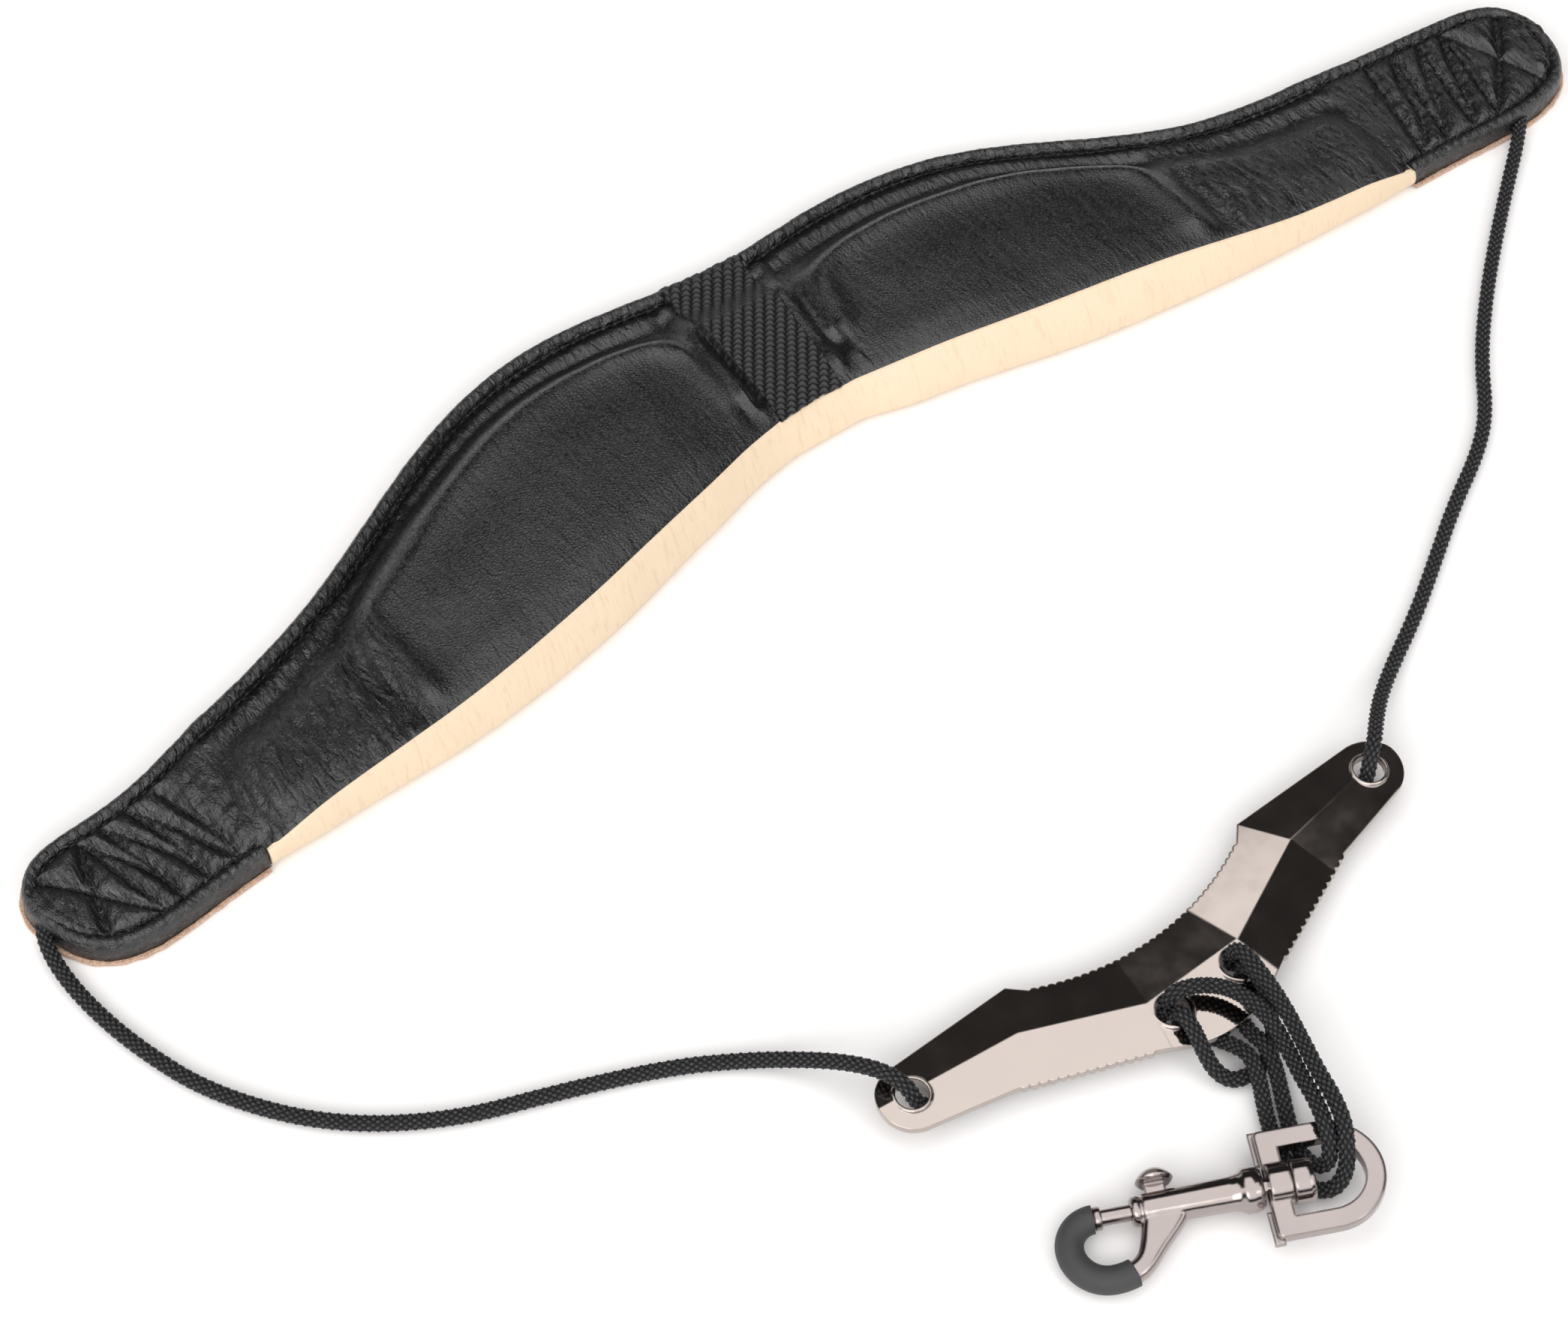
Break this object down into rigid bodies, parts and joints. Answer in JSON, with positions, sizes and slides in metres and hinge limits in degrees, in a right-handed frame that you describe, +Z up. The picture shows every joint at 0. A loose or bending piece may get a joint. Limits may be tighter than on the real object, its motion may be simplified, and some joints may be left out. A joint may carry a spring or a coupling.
{
  "type": "saxophone neck strap",
  "caption": "Padded leather neck band with a braided cord, a folded metal adjuster plate and a spring snap hook on a swivel ring, for holding a wind instrument.",
  "frame": {"origin": "centre of the object's footprint on the surface that it lies on, cords left out", "axes": "+Z up, +X along the padded band towards its right tongue, -Y towards the snap hook"},
  "size_m": [0.4762, 0.311, 0.0169],
  "materials": {
    "black_leather": "fine pebble grain, satin",
    "tan_leather": "smooth, satin",
    "webbing": "herringbone weave",
    "foam": "matte",
    "braided_cord": "round braid with a slight sheen",
    "black_nickel": "polished black nickel",
    "soft_sleeve": "matte",
    "spring_steel": "plain"
  },
  "bodies": {
    "pad": {"top_leather_left": "black_leather", "top_leather_right": "black_leather", "centre_webbing": "webbing", "lining_leather": "tan_leather", "edge_binding_left": "black_leather", "edge_binding_right": "black_leather", "foam_core_left": "foam", "foam_core_right": "foam", "tongue_filler_left": "foam", "tongue_filler_right": "foam", "cord_left": "braided_cord", "cord_right": "braided_cord"},
    "yoke": {"yoke_plate": "black_nickel", "loop_inner": "braided_cord", "loop_outer": "braided_cord"},
    "ring": {"d_ring": "black_nickel"},
    "hook": {"hook_body": "black_nickel", "hook_sleeve": "soft_sleeve", "swivel_rivet": "black_nickel", "bolt_spring": "spring_steel"},
    "bolt": {"bolt": "black_nickel", "thumb_knob": "black_nickel"}
  },
  "joints": [
    {"name": "yoke_slide", "type": "slide", "parent": "pad", "child": "yoke", "axis": [-0.0698, 0.9976, 0], "range_m": [-0.006, 0.04], "deforming": ["cord_left", "cord_right"]},
    {"name": "ring_slide", "type": "slide", "parent": "yoke", "child": "ring", "axis": [-0.0698, 0.9976, 0], "range_m": [-0.02, 0.003], "deforming": ["loop_inner", "loop_outer"]},
    {"name": "hook_swivel", "type": "hinge", "parent": "ring", "child": "hook", "pos_m": [-0.04636, -0.13907, 0.00776], "axis": [0.9012, -0.4241, 0.0899], "continuous": true},
    {"name": "bolt_slide", "type": "slide", "parent": "hook", "child": "bolt", "axis": [0.9012, -0.4241, 0.0899], "range_m": [0, 0.006], "stiffness_N_per_m": 400, "springref_m": -0.01, "deforming": ["bolt_spring"]}
  ],
  "couplings": [
    {"joint": "ring_slide", "follows": "yoke_slide", "ratio": -0.5}
  ]
}
